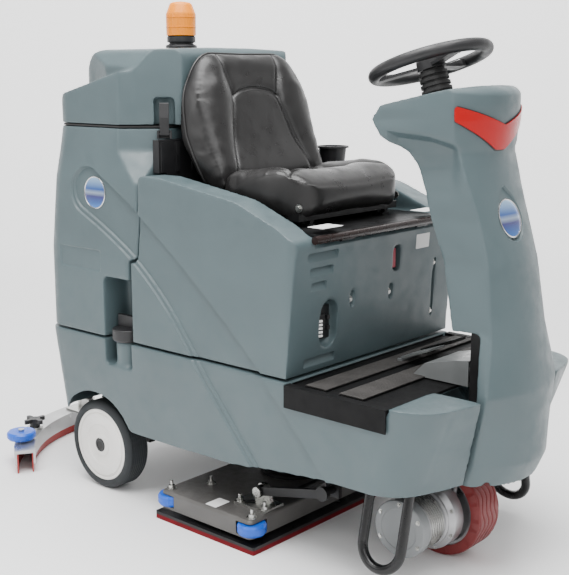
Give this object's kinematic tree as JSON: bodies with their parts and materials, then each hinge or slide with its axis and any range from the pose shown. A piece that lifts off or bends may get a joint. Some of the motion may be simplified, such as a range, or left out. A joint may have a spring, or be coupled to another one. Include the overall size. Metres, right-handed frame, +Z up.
{
  "type": "ride on floor scrubber",
  "caption": "Seated ride-on floor scrubber with moulded tanks, steering column, orbital scrub deck, rear squeegee, warning beacon and three wheels.",
  "frame": {"origin": "on the floor, under the middle of the machine's overall length and width", "axes": "+X forwards, +Y to the machine's left, +Z up"},
  "size_m": [1.6958, 0.8366, 1.356],
  "materials": {
    "shell": "satin, fine moulded texture",
    "black_plastic": "matt textured",
    "frame_steel": "satin powder coat",
    "guard_tube": "gloss powder coat",
    "mat_rubber": "matt ribbed",
    "seal_rubber": "matt",
    "vinyl": "soft black vinyl, fine grain",
    "red_lens": "clear gloss",
    "amber_lens": "clear gloss",
    "wheel_rim": "satin moulded",
    "drive_rubber": "matt",
    "cast_metal": "cast, satin",
    "plated_steel": "zinc plated",
    "sheet_steel": "satin",
    "deck_paint": "satin, worn",
    "roller_blue": "satin polyurethane",
    "pad_red": "coarse nylon pad",
    "squeegee_metal": "cast, satin",
    "blade_red": "smooth",
    "battery_case": "satin",
    "stop_red": "gloss"
  },
  "bodies": {
    "machine": {"lower_body": "shell", "chassis_frame": "frame_steel", "guard_loops": "guard_tube", "step_mat": "mat_rubber", "recovery_tank": "shell", "lid_gasket": "seal_rubber", "rear_cover": "black_plastic", "tank_back_fittings": "black_plastic", "vacuum_motor_and_pump": "black_plastic", "seat_box": "shell", "panel_sockets": "black_plastic", "cup_holder": "black_plastic", "batteries": "battery_case", "column_shell": "shell", "signal_lens": "red_lens", "steering_boot": "seal_rubber", "steering_chain": "plated_steel", "console_panel": "black_plastic", "pedal_bracket": "sheet_steel"},
    "lid": {"tank_lid": "shell", "beacon": "amber_lens"},
    "latch": {"lid_latch": "black_plastic"},
    "seat": {"seat_pan": "frame_steel", "seat_backrest": "vinyl", "seat_cushion": "vinyl"},
    "fork": {"drive_fork": "cast_metal", "drive_motor": "cast_metal"},
    "deck": {"deck_housing": "deck_paint", "deck_hardware": "plated_steel", "deck_motor": "frame_steel"},
    "pad": {"pad_driver": "frame_steel", "scrub_pad": "pad_red"},
    "squeegee": {"squeegee_body": "squeegee_metal", "squeegee_blades": "blade_red", "squeegee_fittings": "plated_steel", "suction_tube": "black_plastic"},
    "accelerator_pedal": {"accelerator_pedal": "sheet_steel"},
    "brake_pedal": {"brake_pedal": "mat_rubber"},
    "emergency_stop": {"emergency_stop": "stop_red"},
    "key_switch": {"key_switch": "plated_steel"},
    "direction_rocker": {"direction_rocker": "black_plastic"},
    "fill_cap": {"fill_cap": "black_plastic"},
    "seat_plate": {"seat_plate": "frame_steel"},
    "steering_wheel": {"steering_wheel": "black_plastic"},
    "steering_shaft_middle": {"steering_shaft_middle": "plated_steel"},
    "steering_shaft_lower": {"steering_shaft_lower": "plated_steel"},
    "rear_wheel_right": {"rear_wheel_right": "wheel_rim"},
    "rear_wheel_left": {"rear_wheel_left": "wheel_rim"},
    "drive_wheel": {"drive_wheel": "drive_rubber"},
    "deck_arms": {"deck_arms": "frame_steel"},
    "eccentric": {"eccentric": "plated_steel"},
    "squeegee_arms": {"squeegee_arms": "frame_steel"},
    "deck_roller_rear_right": {"deck_roller_rear_right": "roller_blue"},
    "deck_roller_rear_left": {"deck_roller_rear_left": "roller_blue"},
    "deck_roller_front_right": {"deck_roller_front_right": "roller_blue"},
    "deck_roller_front_left": {"deck_roller_front_left": "roller_blue"},
    "squeegee_roller_right": {"squeegee_roller_right": "roller_blue"},
    "squeegee_roller_left": {"squeegee_roller_left": "roller_blue"},
    "squeegee_knob_right": {"squeegee_knob_right": "black_plastic"},
    "squeegee_knob_left": {"squeegee_knob_left": "black_plastic"}
  },
  "joints": [
    {"name": "lid_hinge", "type": "hinge", "parent": "machine", "child": "lid", "pos_m": [-0.502, 0, 1.021], "axis": [0, -1, 0], "range_deg": [0, 75]},
    {"name": "latch_hinge", "type": "hinge", "parent": "machine", "child": "latch", "pos_m": [-0.123, -0.2436, 1.003], "axis": [0.713, 0.7011, 0], "range_deg": [0, 95]},
    {"name": "fill_cap_turn", "type": "hinge", "parent": "machine", "child": "fill_cap", "pos_m": [-0.216, -0.304, 0.47], "axis": [0, 0, 1], "range_deg": [0, 90]},
    {"name": "seat_plate_hinge", "type": "hinge", "parent": "machine", "child": "seat_plate", "pos_m": [0.41, 0, 0.776], "axis": [0, 1, 0], "range_deg": [0, 45]},
    {"name": "seat_slide", "type": "slide", "parent": "seat_plate", "child": "seat", "axis": [1, 0, 0], "range_m": [0, 0.06]},
    {"name": "fork_turn", "type": "hinge", "parent": "machine", "child": "fork", "pos_m": [0.615, 0, 0.25], "axis": [0, 0, 1], "range_deg": [-70, 70]},
    {"name": "drive_wheel_spin", "type": "hinge", "parent": "fork", "child": "drive_wheel", "pos_m": [0.615, 0, 0.118], "axis": [0, 1, 0], "continuous": true},
    {"name": "steering_wheel_turn", "type": "hinge", "parent": "machine", "child": "steering_wheel", "pos_m": [0.529, 0, 1.182], "axis": [-0.3074, 0, 0.9516], "range_deg": [-211, 211]},
    {"name": "middle_shaft_turn", "type": "hinge", "parent": "machine", "child": "steering_shaft_middle", "pos_m": [0.733, 0, 0.6], "axis": [-0.3408, 0, 0.9402], "range_deg": [-211, 211]},
    {"name": "lower_shaft_turn", "type": "hinge", "parent": "machine", "child": "steering_shaft_lower", "pos_m": [0.733, 0, 0.4], "axis": [0, 0, 1], "range_deg": [-211, 211]},
    {"name": "stop_press", "type": "slide", "parent": "machine", "child": "emergency_stop", "axis": [-0.2284, 0, 0.9736], "range_m": [-0.004, 0], "stiffness_N_per_m": 400, "springref_m": 0.001},
    {"name": "key_turn", "type": "hinge", "parent": "machine", "child": "key_switch", "pos_m": [0.59381, -0.092, 1.10778], "axis": [-0.2284, 0, 0.9736], "range_deg": [0, 60]},
    {"name": "rocker_tilt", "type": "hinge", "parent": "machine", "child": "direction_rocker", "pos_m": [0.64094, 0.092, 1.11267], "axis": [0, 1, 0], "range_deg": [-8, 8]},
    {"name": "accelerator_pedal_hinge", "type": "hinge", "parent": "machine", "child": "accelerator_pedal", "pos_m": [0.46, 0, 0.455], "axis": [0, 1, 0], "range_deg": [0, 12], "stiffness_Nm_per_rad": 4, "springref_deg": -14.32},
    {"name": "brake_pedal_hinge", "type": "hinge", "parent": "machine", "child": "brake_pedal", "pos_m": [0.46, 0, 0.455], "axis": [0, 1, 0], "range_deg": [0, 12], "stiffness_Nm_per_rad": 4, "springref_deg": -14.32},
    {"name": "rear_wheel_right_spin", "type": "hinge", "parent": "machine", "child": "rear_wheel_right", "pos_m": [-0.342, -0.278, 0.127], "axis": [0, 1, 0], "continuous": true},
    {"name": "rear_wheel_left_spin", "type": "hinge", "parent": "machine", "child": "rear_wheel_left", "pos_m": [-0.342, 0.278, 0.127], "axis": [0, 1, 0], "continuous": true},
    {"name": "deck_lift", "type": "hinge", "parent": "machine", "child": "deck_arms", "pos_m": [0.418, 0, 0.165], "axis": [0, 1, 0], "range_deg": [0, 16]},
    {"name": "deck_level", "type": "hinge", "parent": "deck_arms", "child": "deck", "pos_m": [0.213, 0, 0.118], "axis": [0, 1, 0], "range_deg": [-16.2, 0.2]},
    {"name": "eccentric_spin", "type": "hinge", "parent": "deck", "child": "eccentric", "pos_m": [0.107, 0, 0.06], "axis": [0, 0, 1], "continuous": true},
    {"name": "pad_counterspin", "type": "hinge", "parent": "eccentric", "child": "pad", "pos_m": [0.11, 0, 0.016], "axis": [0, 0, 1], "continuous": true},
    {"name": "deck_roller_rear_right_spin", "type": "hinge", "parent": "deck", "child": "deck_roller_rear_right", "pos_m": [-0.038, -0.322, 0.054], "axis": [0, 0, 1], "continuous": true},
    {"name": "deck_roller_rear_left_spin", "type": "hinge", "parent": "deck", "child": "deck_roller_rear_left", "pos_m": [-0.038, 0.322, 0.054], "axis": [0, 0, 1], "continuous": true},
    {"name": "deck_roller_front_right_spin", "type": "hinge", "parent": "deck", "child": "deck_roller_front_right", "pos_m": [0.252, -0.322, 0.054], "axis": [0, 0, 1], "continuous": true},
    {"name": "deck_roller_front_left_spin", "type": "hinge", "parent": "deck", "child": "deck_roller_front_left", "pos_m": [0.252, 0.322, 0.054], "axis": [0, 0, 1], "continuous": true},
    {"name": "squeegee_lift", "type": "hinge", "parent": "machine", "child": "squeegee_arms", "pos_m": [-0.442, 0, 0.15], "axis": [0, 1, 0], "range_deg": [0, 9.5]},
    {"name": "squeegee_level", "type": "hinge", "parent": "squeegee_arms", "child": "squeegee", "pos_m": [-0.742, 0, 0.1], "axis": [0, 1, 0], "range_deg": [-9.7, 0.2]},
    {"name": "squeegee_roller_right_spin", "type": "hinge", "parent": "squeegee", "child": "squeegee_roller_right", "pos_m": [-0.68054, -0.34374, 0.087], "axis": [0, 0, 1], "continuous": true},
    {"name": "squeegee_roller_left_spin", "type": "hinge", "parent": "squeegee", "child": "squeegee_roller_left", "pos_m": [-0.68054, 0.34374, 0.087], "axis": [0, 0, 1], "continuous": true},
    {"name": "squeegee_knob_right_turn", "type": "hinge", "parent": "squeegee", "child": "squeegee_knob_right", "pos_m": [-0.74411, -0.24944, 0.09], "axis": [0, 0, 1], "continuous": true},
    {"name": "squeegee_knob_left_turn", "type": "hinge", "parent": "squeegee", "child": "squeegee_knob_left", "pos_m": [-0.74411, 0.24944, 0.09], "axis": [0, 0, 1], "continuous": true}
  ],
  "couplings": [
    {"joint": "steering_wheel_turn", "follows": "fork_turn", "ratio": 3},
    {"joint": "middle_shaft_turn", "follows": "fork_turn", "ratio": 3},
    {"joint": "lower_shaft_turn", "follows": "fork_turn", "ratio": 3},
    {"joint": "deck_level", "follows": "deck_lift", "ratio": -1},
    {"joint": "pad_counterspin", "follows": "eccentric_spin", "ratio": -1},
    {"joint": "squeegee_level", "follows": "squeegee_lift", "ratio": -1}
  ]
}
